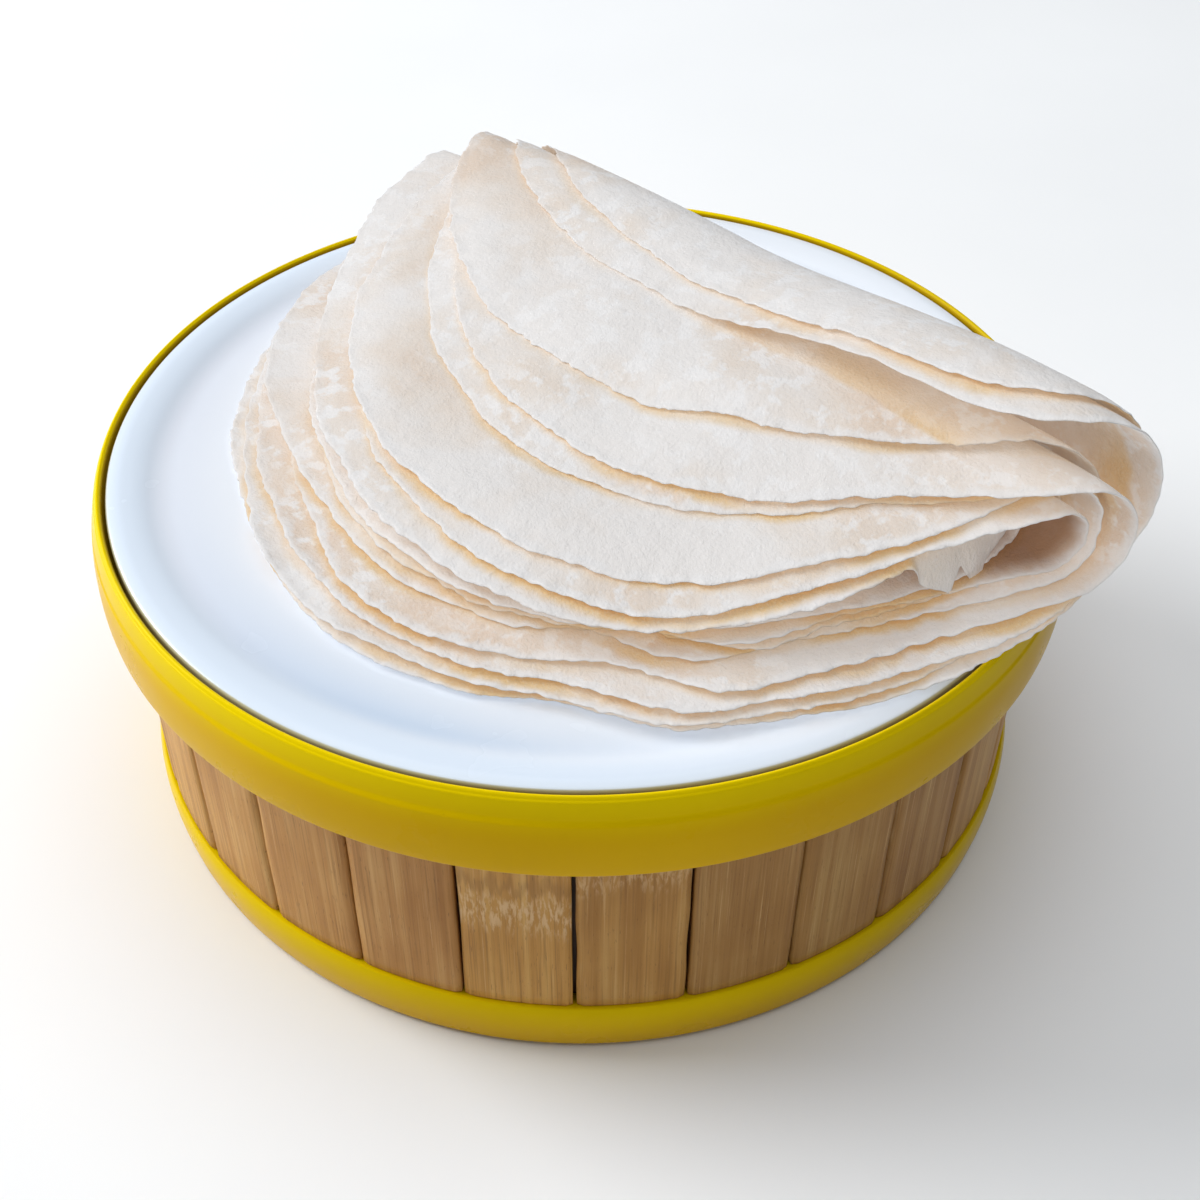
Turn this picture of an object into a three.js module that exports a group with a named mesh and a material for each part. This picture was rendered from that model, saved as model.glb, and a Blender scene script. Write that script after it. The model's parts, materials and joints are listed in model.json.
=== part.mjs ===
// A stack of eight thin wheat pancakes, folded over together and laid on the shut lid
// of a low round box that is clad in upright bamboo slats.
// Millimetres, +Z up. The origin is the centre of the box's underside.
import * as THREE from 'three';

// ---- the box ----
const ROUND_STEPS = 60; // facets round the box
const CORE_RADIUS = 97.3; // solid body behind the slats
const BASE_RING_HEIGHT = 13.75;
const BASE_RING_RADIUS = 102.3; // at the middle of its rounded bead
const BASE_RING_LIFT = 0.3; // the core's flat underside carries the box
const SLAT_COUNT = 28;
const SLAT_OUTER_RADIUS = 100.8;
const SLAT_THICKNESS = 3.2;
const SLAT_SEAM = 0.8; // dark seam between two slats
const SLAT_FIRST_SEAM = -51.8; // degrees round from the front
const SLAT_TOP = 73.6;
const FIT_GAP = 0.3; // between pieces that touch

// ---- the lid ----
const BAND_BOTTOM = 61.2;
const BAND_BOTTOM_RADIUS = 106.3;
const BAND_TOP_RADIUS = 105.0;
const CREST_HEIGHT = 80.64; // top of the lid's rim
const CREST_INNER_RADIUS = 102.5;
const PANEL_RADIUS = 101.8;
const PANEL_FLAT_RADIUS = 90.5; // flat middle, inside the panel's raised border
const PANEL_DROP = 2.5; // flat middle below the rim's crest

// ---- the stack of pancakes ----
const PANCAKE_COUNT = 8;
const PANCAKE_THICKNESS = 0.9;
const PANCAKE_RADIUS = 93.5;
const PITCH_BELOW = 1.48; // one pancake to the next, under the fold's opening
const PITCH_ABOVE = 1.72; // the same, over the opening
const FOLD_HEADING = -47.1; // degrees: the fold runs from the far left to the near right
const FOLD_CENTRE = [22.3, 31.8];
const FOLD_BOW = 7.1; // sideways bend of the fold line at FOLD_HALF from its centre
const FOLD_TWIST = -1.4;
const FOLD_HALF = 90;
const OPENING_RADIUS = 5.0; // of the innermost fold
const OPENING_CLOSE = 0.9; // how much narrower the opening is at the near end
const OPENING_REACH = 54; // how far from the fold the opening closes
const NEAR_START = 10; // along the fold, where its near end begins to differ
const NEAR_LENGTH = 75;
const FLARE_REACH = 54;
const TUCK = 0.95; // each inner fold sits this much further forward at the near end
const TUCK_FROM = 3; // counted from the outermost pancake
const BED_START = 68; // the pancakes rise from the panel to cross the rim
const BED_END = 112;
const BED_RISE = 3.3;

// Each pancake, from the outermost to the innermost: its shift along the fold, how far its
// centre lies below the fold line, its change of radius, its oval and three-sided unevenness
// (cosine and sine parts), a shoulder and a front bulge of its edge (height, and degrees
// round the edge), a bulge at the fold's near end, the height of a small point on its lower
// edge, which has a notch beside it, and how far its fold flares out at the near end.
const PANCAKES = [
  { along: 15, below: 48.5, grow: -0.5, oval: [3.5, 0], three: [0, -1.5],
    shoulder: [22, -42], front: [3, 82], end: 0.5, point: 2, flare: 10 },
  { along: 13.5, below: 45, grow: -1, oval: [2.5, 3], three: [0.5, -1],
    shoulder: [29.5, -38], front: [3, 95], end: -0.5, point: 1.5, flare: 10 },
  { along: 13, below: 30.5, grow: 2, oval: [-2, 2], three: [1.5, 0],
    shoulder: [7.5, -16], front: [4, 85], end: 1.5, point: 2.5, flare: 1 },
  { along: 17, below: 22, grow: -1, oval: [-6, -1.5], three: [0, 2],
    shoulder: [18.5, -13], front: [8, 86], end: -2.5, point: 4, flare: 0 },
  { along: 9.5, below: 18, grow: -1.5, oval: [-4.5, -3.5], three: [-1, 3],
    shoulder: [15.5, -12], front: [5.5, 82], end: 2.5, point: 3, flare: 0 },
  { along: 13.5, below: 4.5, grow: 0.5, oval: [-9, -1], three: [0, 1],
    shoulder: [6, -7], front: [4.5, 88], end: -1, point: 3, flare: 0 },
  { along: 14.5, below: 3.5, grow: -0.5, oval: [-10, -3], three: [-1.5, 1],
    shoulder: [10, 0], front: [2, 85], end: 5, point: 3.5, flare: 0 },
  { along: 12, below: -3.5, grow: 0.5, oval: [-3.5, 1.5], three: [-3, 3],
    shoulder: [4, -29], front: [-5, 35], end: -1, point: 0, flare: 0 },
];
const SHOULDER_WIDTH = 21.8; // degrees
const FRONT_WIDTH = 17.2;
const END_WIDTH = 14;
const END_CENTRE = -3;
const POINT_WIDTH = 7;
const POINT_CENTRE = 43;
const NOTCH_CENTRE = 57;
const NOTCH_SHARE = 0.75;

// ---- facets of a pancake ----
const COLUMNS = 18; // along the fold
const FOLD_ROWS = 6; // round the fold
const ABOVE_ROWS = 4; // from the fold to the upper edge
const BELOW_ROWS = 6; // from the fold to the lower edge

const COLOURS = {
  dough: 0xf0e6da,
  panel: 0xe9edf4,
  yellow: 0xe8cf12,
  bamboo: 0xc39a6c,
  core: 0xd9c21a,
};
const radians = THREE.MathUtils.degToRad;
const group = new THREE.Group();

function addPiece(name, geometry, color, roughness) {
  const material = new THREE.MeshStandardMaterial({ color, roughness, metalness: 0 });
  const mesh = new THREE.Mesh(geometry, material);
  mesh.name = name;
  group.add(mesh);
  return mesh;
}

// A solid of revolution about Z from a profile of [radius, height] pairs that runs
// anticlockwise: outwards along the bottom, up the outside and back over the top.
function turned(profile) {
  const points = profile.map(([radius, height]) => new THREE.Vector2(radius, height));
  return new THREE.LatheGeometry(points, ROUND_STEPS).rotateX(Math.PI / 2);
}

function buildBox() {
  const low = BASE_RING_LIFT;
  const high = BASE_RING_HEIGHT;
  const ringInner = CORE_RADIUS + FIT_GAP;
  addPiece('base_ring', turned([
    [ringInner, low], [BASE_RING_RADIUS - 1.6, low], [BASE_RING_RADIUS - 0.3, low + 2.2],
    [BASE_RING_RADIUS, (low + high) / 2], [BASE_RING_RADIUS - 0.3, high - 2.2],
    [BASE_RING_RADIUS - 1.4, high], [ringInner, high], [ringInner, low],
  ]), COLOURS.yellow, 0.25);
  addPiece('box_core', turned([
    [0, 0], [CORE_RADIUS, 0], [CORE_RADIUS, SLAT_TOP], [0, SLAT_TOP],
  ]), COLOURS.core, 0.4);

  const slatAngle = 360 / SLAT_COUNT;
  for (let i = 0; i < SLAT_COUNT; i += 1) {
    const slat = addPiece(`slat_${String(i + 1).padStart(2, '0')}`, slatGeometry(slatAngle),
      COLOURS.bamboo, 0.55);
    slat.rotation.z = radians(SLAT_FIRST_SEAM + (i + 0.5) * slatAngle - 90);
    slat.position.z = BASE_RING_HEIGHT + FIT_GAP;
  }
}

// One upright slat whose middle lies on the +X axis: a bowed face, eased at its corners.
function slatGeometry(slatAngle) {
  const half = radians(slatAngle / 2) - SLAT_SEAM / 2 / SLAT_OUTER_RADIUS;
  const inner = SLAT_OUTER_RADIUS - SLAT_THICKNESS;
  const ease = 0.4;
  const at = (radius, angle) => new THREE.Vector2(radius * Math.cos(angle), radius * Math.sin(angle));
  const easeAngle = ease / SLAT_OUTER_RADIUS;
  const shape = new THREE.Shape([
    at(inner + 0.2, -half), at(SLAT_OUTER_RADIUS - ease, -half),
    at(SLAT_OUTER_RADIUS, easeAngle - half), at(SLAT_OUTER_RADIUS, 0),
    at(SLAT_OUTER_RADIUS, half - easeAngle), at(SLAT_OUTER_RADIUS - ease, half),
    at(inner + 0.2, half), at(inner + 0.2, 0),
  ]);
  const depth = SLAT_TOP - BASE_RING_HEIGHT - FIT_GAP;
  return new THREE.ExtrudeGeometry(shape, { depth, bevelEnabled: false });
}

function buildLid() {
  const inner = SLAT_OUTER_RADIUS + FIT_GAP;
  const seat = SLAT_TOP + FIT_GAP;
  addPiece('lid_band', turned([
    [inner, BAND_BOTTOM], [BAND_BOTTOM_RADIUS - 0.9, BAND_BOTTOM],
    [BAND_BOTTOM_RADIUS, BAND_BOTTOM + 1.2], [BAND_TOP_RADIUS + 0.2, CREST_HEIGHT - 2.2],
    [BAND_TOP_RADIUS - 0.5, CREST_HEIGHT - 0.5], [(BAND_TOP_RADIUS + CREST_INNER_RADIUS) / 2,
      CREST_HEIGHT], [CREST_INNER_RADIUS, CREST_HEIGHT - 0.5],
    [CREST_INNER_RADIUS, seat], [inner, seat - 2 * FIT_GAP], [inner, BAND_BOTTOM],
  ]), COLOURS.yellow, 0.25);

  const flat = CREST_HEIGHT - PANEL_DROP;
  addPiece('lid_panel', turned([
    [0, seat], [PANEL_RADIUS, seat], [PANEL_RADIUS, CREST_HEIGHT - 1.6],
    [PANEL_RADIUS - 1, CREST_HEIGHT - 0.7], [PANEL_RADIUS - 4, CREST_HEIGHT - 0.5],
    [PANEL_RADIUS - 7.5, CREST_HEIGHT - 1.2], [PANEL_FLAT_RADIUS, flat], [0, flat],
  ]), COLOURS.panel, 0.15);
}

const smooth = (t) => {
  const c = THREE.MathUtils.clamp(t, 0, 1);
  return c * c * (3 - 2 * c);
};

// The surface that carries the lowest pancake.
function bedHeight(x, y) {
  const rise = smooth((Math.hypot(x, y) - BED_START) / (BED_END - BED_START));
  return CREST_HEIGHT - PANEL_DROP + BED_RISE * rise;
}

// A pancake's fold at a distance along it, with its radius measured at the middle surface.
function foldShape(cake, along) {
  const index = PANCAKES.indexOf(cake);
  const near = smooth((along - NEAR_START) / NEAR_LENGTH);
  const layers = PANCAKE_COUNT - index - 0.5;
  const flare = cake.flare * near;
  const gap = OPENING_RADIUS - OPENING_CLOSE * near;
  const tuck = TUCK * Math.max(index - TUCK_FROM, 0) * near;
  const radius = gap + layers * (PITCH_BELOW + PITCH_ABOVE) / 2 + flare / 2;
  return { layers, flare, gap, tuck, radius };
}

// A point of a pancake at a place in its unfolded plane: along the fold, and across it
// (above the opening where across is negative). outward moves off the middle surface.
function cakePoint(cake, along, across, outward) {
  const { layers, flare, gap, tuck, radius } = foldShape(cake, along);
  const turn = Math.min(Math.abs(across) / radius, Math.PI / 2);
  const flatPart = Math.abs(across) - radius * Math.PI / 2;
  const reach = tuck + (flatPart > 0 ? flatPart : -(radius + outward) * Math.cos(turn));
  const open = Math.max(reach, 0);

  const heading = radians(FOLD_HEADING);
  const u = along / FOLD_HALF;
  const side = reach + FOLD_BOW * u * u + FOLD_TWIST * u * u * u;
  const x = FOLD_CENTRE[0] + along * Math.cos(heading) + side * Math.sin(heading);
  const y = FOLD_CENTRE[1] + along * Math.sin(heading) - side * Math.cos(heading);

  const opening = gap * Math.exp(-((open / OPENING_REACH) ** 2));
  const middle = bedHeight(x, y) + PANCAKE_COUNT * PITCH_BELOW + opening;
  const spread = flare * Math.exp(-((open / FLARE_REACH) ** 2));
  const drop = across > 0
    ? -(opening + layers * PITCH_BELOW + outward)
    : opening + layers * PITCH_ABOVE + spread + outward;
  return [x, y, middle + Math.sin(turn) * drop];
}

// Distance from a pancake's centre to its uneven edge, degrees round from the near end.
function edgeRadius(cake, degrees) {
  const bump = ([height, centre], width) => {
    const away = THREE.MathUtils.euclideanModulo(degrees - centre + 180, 360) - 180;
    return height * Math.exp(-((away / width) ** 2));
  };
  const t = radians(degrees);
  return PANCAKE_RADIUS + cake.grow
    + cake.oval[0] * Math.cos(2 * t) + cake.oval[1] * Math.sin(2 * t)
    + cake.three[0] * Math.cos(3 * t) + cake.three[1] * Math.sin(3 * t)
    + bump(cake.shoulder, SHOULDER_WIDTH) + bump(cake.front, FRONT_WIDTH)
    + bump([cake.end, END_CENTRE], END_WIDTH)
    + bump([cake.point, POINT_CENTRE], POINT_WIDTH)
    - bump([cake.point * NOTCH_SHARE, NOTCH_CENTRE], POINT_WIDTH);
}

function edgePlace(cake, degrees) {
  const radius = edgeRadius(cake, degrees);
  return [
    cake.along + radius * Math.cos(radians(degrees)),
    cake.below + radius * Math.sin(radians(degrees)),
  ];
}

// The unfolded place of a row at a distance along the fold. Rows run along the fold:
// first above it, from the upper tip, then round it, then below it to the lower tip.
function rowPlace(cake, row, along, upperTip, lowerTip) {
  const quarter = foldShape(cake, along).radius * Math.PI / 2;
  const spaced = (share) => Math.sin(share * Math.PI / 2);
  const below = row - ABOVE_ROWS - FOLD_ROWS;
  if (row < ABOVE_ROWS) return -quarter + (upperTip + quarter) * spaced(1 - row / ABOVE_ROWS);
  if (below <= 0) return quarter * (1 + 2 * below / FOLD_ROWS);
  return quarter + (lowerTip - quarter) * spaced(below / BELOW_ROWS);
}

// The place where a row meets the edge between two directions from the cake's centre.
function rowEnd(cake, row, upper, lower) {
  let [from, to] = [upper.degrees, lower.degrees];
  for (let step = 0; step < 30; step += 1) {
    const middle = (from + to) / 2;
    const [along, across] = edgePlace(cake, middle);
    if (across < rowPlace(cake, row, along, upper.across, lower.across)) from = middle;
    else to = middle;
  }
  return edgePlace(cake, (from + to) / 2)[0];
}

// The edge's uppermost and lowermost places, where the first and last rows shrink to a point.
function edgeTips(cake) {
  const tip = (sign) => {
    let best = { degrees: 90 * sign, across: 0 };
    for (let turn = -40; turn <= 40; turn += 1) {
      const degrees = 90 * sign + turn;
      const [along, across] = edgePlace(cake, degrees);
      if (across * sign > best.across * sign) best = { degrees, along, across };
    }
    return best;
  };
  return { upper: tip(-1), lower: tip(1) };
}

// A closed thin sheet: an outer and an inner face joined round the edge.
function cakeGeometry(cake) {
  const { upper, lower } = edgeTips(cake);
  const positions = [];
  const addPlace = (along, across) => {
    positions.push(...cakePoint(cake, along, across, PANCAKE_THICKNESS / 2));
    positions.push(...cakePoint(cake, along, across, -PANCAKE_THICKNESS / 2));
    return positions.length / 3 - 2;
  };
  const rowCount = ABOVE_ROWS + FOLD_ROWS + BELOW_ROWS;
  const rows = [[addPlace(upper.along, upper.across)]];
  for (let row = 1; row < rowCount; row += 1) {
    const left = rowEnd(cake, row, { ...upper, degrees: upper.degrees + 360 }, lower);
    const right = rowEnd(cake, row, upper, lower);
    rows.push(Array.from({ length: COLUMNS + 1 }, (_, i) => {
      const along = left + (right - left) * i / COLUMNS;
      return addPlace(along, rowPlace(cake, row, along, upper.across, lower.across));
    }));
  }
  rows.push([addPlace(lower.along, lower.across)]);

  const faces = [];
  const addFace = (a, b, c) => {
    if (a !== b && b !== c && c !== a) faces.push(a, b, c, a + 1, c + 1, b + 1);
  };
  for (let row = 0; row < rowCount; row += 1) {
    const at = (line, i) => line[Math.min(i, line.length - 1)];
    for (let i = 0; i < COLUMNS; i += 1) {
      const [a, b] = [at(rows[row], i), at(rows[row], i + 1)];
      const [c, d] = [at(rows[row + 1], i + 1), at(rows[row + 1], i)];
      addFace(a, b, c);
      addFace(a, c, d);
    }
  }
  const inside = rows.slice(1, -1);
  const edge = [
    rows[0][0], ...inside.map((line) => line[0]),
    rows[rowCount][0], ...inside.map((line) => line[COLUMNS]).reverse(),
  ];
  edge.forEach((a, i) => {
    const b = edge[(i + 1) % edge.length];
    faces.push(a, b, b + 1, a, b + 1, a + 1);
  });

  const geometry = new THREE.BufferGeometry();
  geometry.setAttribute('position', new THREE.Float32BufferAttribute(positions, 3));
  geometry.setIndex(faces);
  geometry.computeVertexNormals();
  return geometry;
}

buildBox();
buildLid();
PANCAKES.forEach((cake, i) => {
  addPiece(`pancake_${i + 1}`, cakeGeometry(cake), COLOURS.dough, 0.7);
});

export default group;
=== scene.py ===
import json
import math

import bpy
import numpy as np
from mathutils import Matrix, Vector

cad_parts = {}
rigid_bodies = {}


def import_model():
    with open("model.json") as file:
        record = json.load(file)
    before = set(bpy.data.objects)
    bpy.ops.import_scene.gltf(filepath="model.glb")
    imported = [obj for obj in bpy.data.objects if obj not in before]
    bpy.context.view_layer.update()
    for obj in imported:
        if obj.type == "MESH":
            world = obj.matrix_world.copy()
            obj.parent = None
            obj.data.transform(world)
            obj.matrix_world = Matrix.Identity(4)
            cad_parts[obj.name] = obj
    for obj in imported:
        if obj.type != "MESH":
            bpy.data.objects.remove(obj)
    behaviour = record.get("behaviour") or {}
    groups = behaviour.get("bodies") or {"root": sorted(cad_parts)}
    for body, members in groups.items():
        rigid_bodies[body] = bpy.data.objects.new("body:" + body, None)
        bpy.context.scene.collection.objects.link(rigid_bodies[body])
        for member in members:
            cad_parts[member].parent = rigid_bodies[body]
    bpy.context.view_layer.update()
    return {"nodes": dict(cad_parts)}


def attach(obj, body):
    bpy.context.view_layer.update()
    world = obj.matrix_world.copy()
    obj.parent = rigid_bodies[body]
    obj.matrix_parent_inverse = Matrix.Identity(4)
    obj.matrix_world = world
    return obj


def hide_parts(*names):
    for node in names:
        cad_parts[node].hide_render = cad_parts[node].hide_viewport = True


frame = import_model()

# A stack of thin folded wheat pancakes on the shut lid of a round bamboo-clad box.
# Sizes in this script are in millimetres unless a name says otherwise; MM turns them to metres.
MM = 0.001

# ---- the box and its lid ----
BASE_RING_HEIGHT = 13.75
BASE_RING_RADIUS = 102.3
BASE_RING_LIFT = 0.3
CORE_RADIUS = 97.3
SLAT_COUNT = 28
SLAT_OUTER_RADIUS = 100.8
SLAT_THICKNESS = 3.2
SLAT_SEAM = 0.8
SLAT_FIRST_SEAM = -51.8  # degrees round from the front
SLAT_TOP = 73.6
SLAT_WANDER = 0.12  # how far its upright edges stray
SLAT_BOW = 0.05
SLAT_WEAR = 0.45  # how much its face falls back at the upright edges
SLAT_WEAR_FROM = 0.93
SLAT_ACROSS, SLAT_UP = 16, 24  # faces across and up a strip
# In metres on a strip: its width, and for the strips seen in front the height and the strength
# of a knuckle, and the place of a knot across and up. Some strips there are darker: painted shade.
SLAT_WIDTH = 0.0218
KNUCKLES = {4: (0.030, 0.8), 5: (0.043, 0.6), 6: (0.16, 0.5)}
KNOTS = {2: (0.013, 0.046), 4: (0.001, 0.0435), 6: (0.0203, 0.024)}
SHADED_SLATS = {5: 0.95, 6: 0.88, 7: 0.86, 8: 0.86, 9: 0.88, 10: 0.92}
FIT_GAP = 0.3
BAND_BOTTOM = 61.2
BAND_BOTTOM_RADIUS = 106.3
BAND_TOP_RADIUS = 105.0
CREST_HEIGHT = 80.64
CREST_INNER_RADIUS = 102.5
PANEL_RADIUS = 101.8
PANEL_FLAT_RADIUS = 90.5
PANEL_DROP = 2.5

# ---- the stack ----
PANCAKE_COUNT = 8
THICKNESS = 1.1
EDGE_THICKNESS = 0.55
BACK_EDGE_SHARE = 0.35  # how thick an edge at the back is beside one in front
THINS_OVER = 5  # from the edge inwards
ROUNDS_OVER = 0.45
SETTLE_BELOW = 0.35  # how far an edge sinks to the sheet under it, below the fold's opening
SETTLE_ABOVE = 0.72
SETTLES_OVER = 9
EDGE_LIFT = 0.95  # how far a loose edge curls up
LIFTS_OVER = 7
LIFT_ABOVE = 0.2  # share of the lift over the fold's opening, and at the back
LIFT_AT_BACK = 0.2
CLEAR_OVER = 6  # an edge lifts where the next one lies at least this far in
FOLD_CALM = 12  # edges neither lift nor settle at the fold, over this distance
BACK_EDGE = 45.0  # where the back begins, and how far in front of it the front does
BACK_TO_FRONT = 80.0
FRAY = 0.16
FRAYS_OVER = 2.5
RAGGED, NICKS, CRUMBS = 0.5, 0.24, 0.17  # raggedness of an edge, from wide to fine
EDGE_WAVE_RADIUS = 90
RING_POINTS = 280  # round a pancake, and up to four times as many near its edge
PANCAKE_RADIUS = 93.5
PITCH_BELOW = 1.48  # one sheet to the next, under and over the fold's opening
PITCH_ABOVE = 1.72
FOLD_HEADING = math.radians(-47.1)
FOLD_CENTRE = (22.3, 31.8)
FOLD_BOW = 7.1
FOLD_TWIST = -1.4
FOLD_HALF = 90
OPENING_RADIUS = 5.0  # half of the fold's opening, and how much less at its near end
OPENING_CLOSE = 0.9
OPENING_REACH = 54
NEAR_START = 10  # along the fold: where its near end begins, and its length
NEAR_LENGTH = 75
FLARE_REACH = 54
TUCK = 0.95  # how far each sheet after this one lies back from the fold at its near end
TUCK_FROM = 3
BED_START = 68  # the bed rises between these radii to cross the lid's rim
BED_END = 112
BED_RISE = 3.3
LOOSE_OVER = 28  # sheets lie less parallel from the fold over this distance
GAP_WAVE = 0.22
LOOSE_SHARE = 0.8
SWELL_HEIGHT = 0.5
SHADE_OVER = 40  # shade of the fold's opening: away from the fold, and in from the edge
SHADE_DEPTH = 6
BARE_RANGE = (-20.0, 60.0)  # places are told apart up to so far under and past an edge
SHEET_SHIFT, SIDE_SHIFT = 0.37, 0.011  # of the pattern, in metres: pancakes and their two sides
# the stack's middle and reach, round which the panel gets a painted reflection of the dough
STACK_MIDDLE = (0.0165, 0.006)  # of the lowest sheet, in metres
STACK_REACH = 0.092
SHOULDER_WIDTH = 21.8  # this and the next lines are degrees round a pancake
FRONT_WIDTH = 17.2
END_WIDTH = 14
END_CENTRE = -3
POINT_WIDTH = 7
POINT_CENTRE = 43
NOTCH_CENTRE = 57
NOTCH_SHARE = 0.75

# Each pancake, outermost first, with the same names as its solid.
PANCAKES = [
    dict(along=15, below=48.5, grow=-0.5, oval=(3.5, 0), three=(0, -1.5),
         shoulder=(22, -42), front=(3, 82), end=0.5, point=2, flare=10),
    dict(along=13.5, below=45, grow=-1, oval=(2.5, 3), three=(0.5, -1),
         shoulder=(29.5, -38), front=(3, 95), end=-0.5, point=1.5, flare=10),
    dict(along=13, below=30.5, grow=2, oval=(-2, 2), three=(1.5, 0),
         shoulder=(7.5, -16), front=(4, 85), end=1.5, point=2.5, flare=1),
    dict(along=17, below=22, grow=-1, oval=(-6, -1.5), three=(0, 2),
         shoulder=(18.5, -13), front=(8, 86), end=-2.5, point=4, flare=0),
    dict(along=9.5, below=18, grow=-1.5, oval=(-4.5, -3.5), three=(-1, 3),
         shoulder=(15.5, -12), front=(5.5, 82), end=2.5, point=3, flare=0),
    dict(along=13.5, below=4.5, grow=0.5, oval=(-9, -1), three=(0, 1),
         shoulder=(6, -7), front=(4.5, 88), end=-1, point=3, flare=0),
    dict(along=14.5, below=3.5, grow=-0.5, oval=(-10, -3), three=(-1.5, 1),
         shoulder=(10, 0), front=(2, 85), end=5, point=3.5, flare=0),
    dict(along=12, below=-3.5, grow=0.5, oval=(-3.5, 1.5), three=(-3, 3),
         shoulder=(4, -29), front=(-5, 35), end=-1, point=0, flare=0),
]

# The innermost pancake's upper half hangs down at its near corner in two pointed lobes: each is
# the angle where it starts, its tip, where it ends, and its length at the tip and after it.
LOBES = [(-21, -14.0, -12.0, 8.2, 4.2), (-12.0, -9.5, -7.9, 11.5, 7.0)]
LOBES_END = 3
LOBE_BEND = 6.0  # radius of the bend over the edge, and how far round it a lobe goes
LOBE_TURN = 1.2
LOBE_GROWS_OVER = 3

# ---- the camera, with its frame and focal length in the photograph's pixels ----
FRAME_SIZE = 1200
FOCAL_LENGTH = 1636
SENSOR_WIDTH = 36
CAMERA_PLACE = (3.9, -288.0, 293.3)
CAMERA_TILT = math.radians(42.23)
CAMERA_ROLL = math.radians(0.38)


# ---------------------------------------------------------------- node helpers
class Nodes:
    """Short calls for building a material's nodes."""

    def __init__(self, name):
        self.material = bpy.data.materials.new(name)
        self.material.use_nodes = True
        self.tree = self.material.node_tree
        self.tree.nodes.clear()
        self.shader = self.add("ShaderNodeBsdfPrincipled")
        out = self.add("ShaderNodeOutputMaterial")
        self.link(self.shader.outputs["BSDF"], out.inputs["Surface"])

    def add(self, kind, **values):
        node = self.tree.nodes.new(kind)
        for key, value in values.items():
            setattr(node, key, value)
        return node

    def link(self, source, target):
        self.tree.links.new(source, target)

    def set(self, node, name, value):
        if hasattr(value, "is_output"):
            self.link(value, node.inputs[name])
        else:
            node.inputs[name].default_value = value

    def coordinates(self, layer=None):
        """Places on the mesh: a UV layer's, or those in space where no layer is named."""
        if layer:
            return self.add("ShaderNodeUVMap", uv_map=layer).outputs["UV"]
        return self.add("ShaderNodeTexCoord").outputs["Object"]

    def parts(self, vector):
        node = self.add("ShaderNodeSeparateXYZ")
        self.link(vector, node.inputs[0])
        return node.outputs

    def noise(self, vector, scale, detail=2.0, roughness=0.5):
        node = self.add("ShaderNodeTexNoise")
        self.link(vector, node.inputs["Vector"])
        for name, value in (("Scale", scale), ("Detail", detail), ("Roughness", roughness)):
            node.inputs[name].default_value = value
        return node.outputs["Fac"]

    def voronoi(self, vector, scale):
        node = self.add("ShaderNodeTexVoronoi")
        self.link(vector, node.inputs["Vector"])
        node.inputs["Scale"].default_value = scale
        return node.outputs["Distance"]

    def ramp(self, value, stops):
        node = self.add("ShaderNodeValToRGB")
        self.link(value, node.inputs["Fac"])
        elements = node.color_ramp.elements
        while len(elements) < len(stops):
            elements.new(0.5)
        for element, (place, colour) in zip(elements, stops):
            element.position = place
            element.color = (*colour, 1)
        return node.outputs["Color"]

    def mask(self, value, low, high):
        """0 at low, 1 at high and smooth between, also where high is the lesser."""
        node = self.add("ShaderNodeMapRange", interpolation_type="SMOOTHSTEP")
        self.link(value, node.inputs["Value"])
        node.inputs["From Min"].default_value = low
        node.inputs["From Max"].default_value = high
        return node.outputs["Result"]

    def mix(self, factor, start, colour):
        """The start colour, turned into the other one by the factor."""
        node = self.add("ShaderNodeMix", data_type="RGBA")
        self.link(factor, node.inputs[0])
        self.link(start, node.inputs[6])
        self.set(node, 7, colour if hasattr(colour, "is_output") else (*colour, 1))
        return node.outputs[2]

    def math(self, operation, a, b):
        node = self.add("ShaderNodeMath", operation=operation)
        for index, value in ((0, a), (1, b)):
            self.set(node, index, value)
        return node.outputs[0]

    def sum(self, a, b):
        return self.math("ADD", a, b)

    def times(self, a, b):
        return self.math("MULTIPLY", a, b)

    def scaled(self, vector, scale, offset=(0, 0, 0)):
        node = self.add("ShaderNodeMapping")
        self.link(vector, node.inputs["Vector"])
        node.inputs["Scale"].default_value = scale
        node.inputs["Location"].default_value = offset
        return node.outputs["Vector"]

    def warped(self, vector, scale, amount):
        """The same places pushed about by noise."""
        noise = self.add("ShaderNodeTexNoise")
        self.link(vector, noise.inputs["Vector"])
        noise.inputs["Scale"].default_value = scale
        push = self.add("ShaderNodeVectorMath", operation="MULTIPLY_ADD")
        self.link(noise.outputs["Color"], push.inputs[0])
        push.inputs[1].default_value = (amount,) * 3
        self.link(vector, push.inputs[2])
        return push.outputs[0]

    def length(self, vector):
        node = self.add("ShaderNodeVectorMath", operation="LENGTH")
        self.link(vector, node.inputs[0])
        return node.outputs["Value"]

    def bump(self, height, distance, strength, normal=None):
        node = self.add("ShaderNodeBump")
        self.link(height, node.inputs["Height"])
        node.inputs["Distance"].default_value = distance
        node.inputs["Strength"].default_value = strength
        if normal is not None:
            self.link(normal, node.inputs["Normal"])
        return node.outputs["Normal"]

    def base(self, colour, roughness, normal=None, **values):
        """Sets the shader, with other sockets named in values, and gives the material."""
        self.link(colour, self.shader.inputs["Base Color"])
        self.set(self.shader, "Roughness", roughness)
        if normal is not None:
            self.link(normal, self.shader.inputs["Normal"])
        for name, value in values.items():
            self.shader.inputs[name.replace("_", " ")].default_value = value
        return self.material


def linear(r, g, b):
    """An sRGB colour of 0 to 255 as linear values."""
    shares = (r / 255, g / 255, b / 255)
    return tuple(c / 12.92 if c <= 0.04 else ((c + 0.055) / 1.055) ** 2.4 for c in shares)


def greys(low, high):
    """Stops of a ramp between two roughnesses."""
    return [(0.35, (low,) * 3), (0.75, (high,) * 3)]


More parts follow.
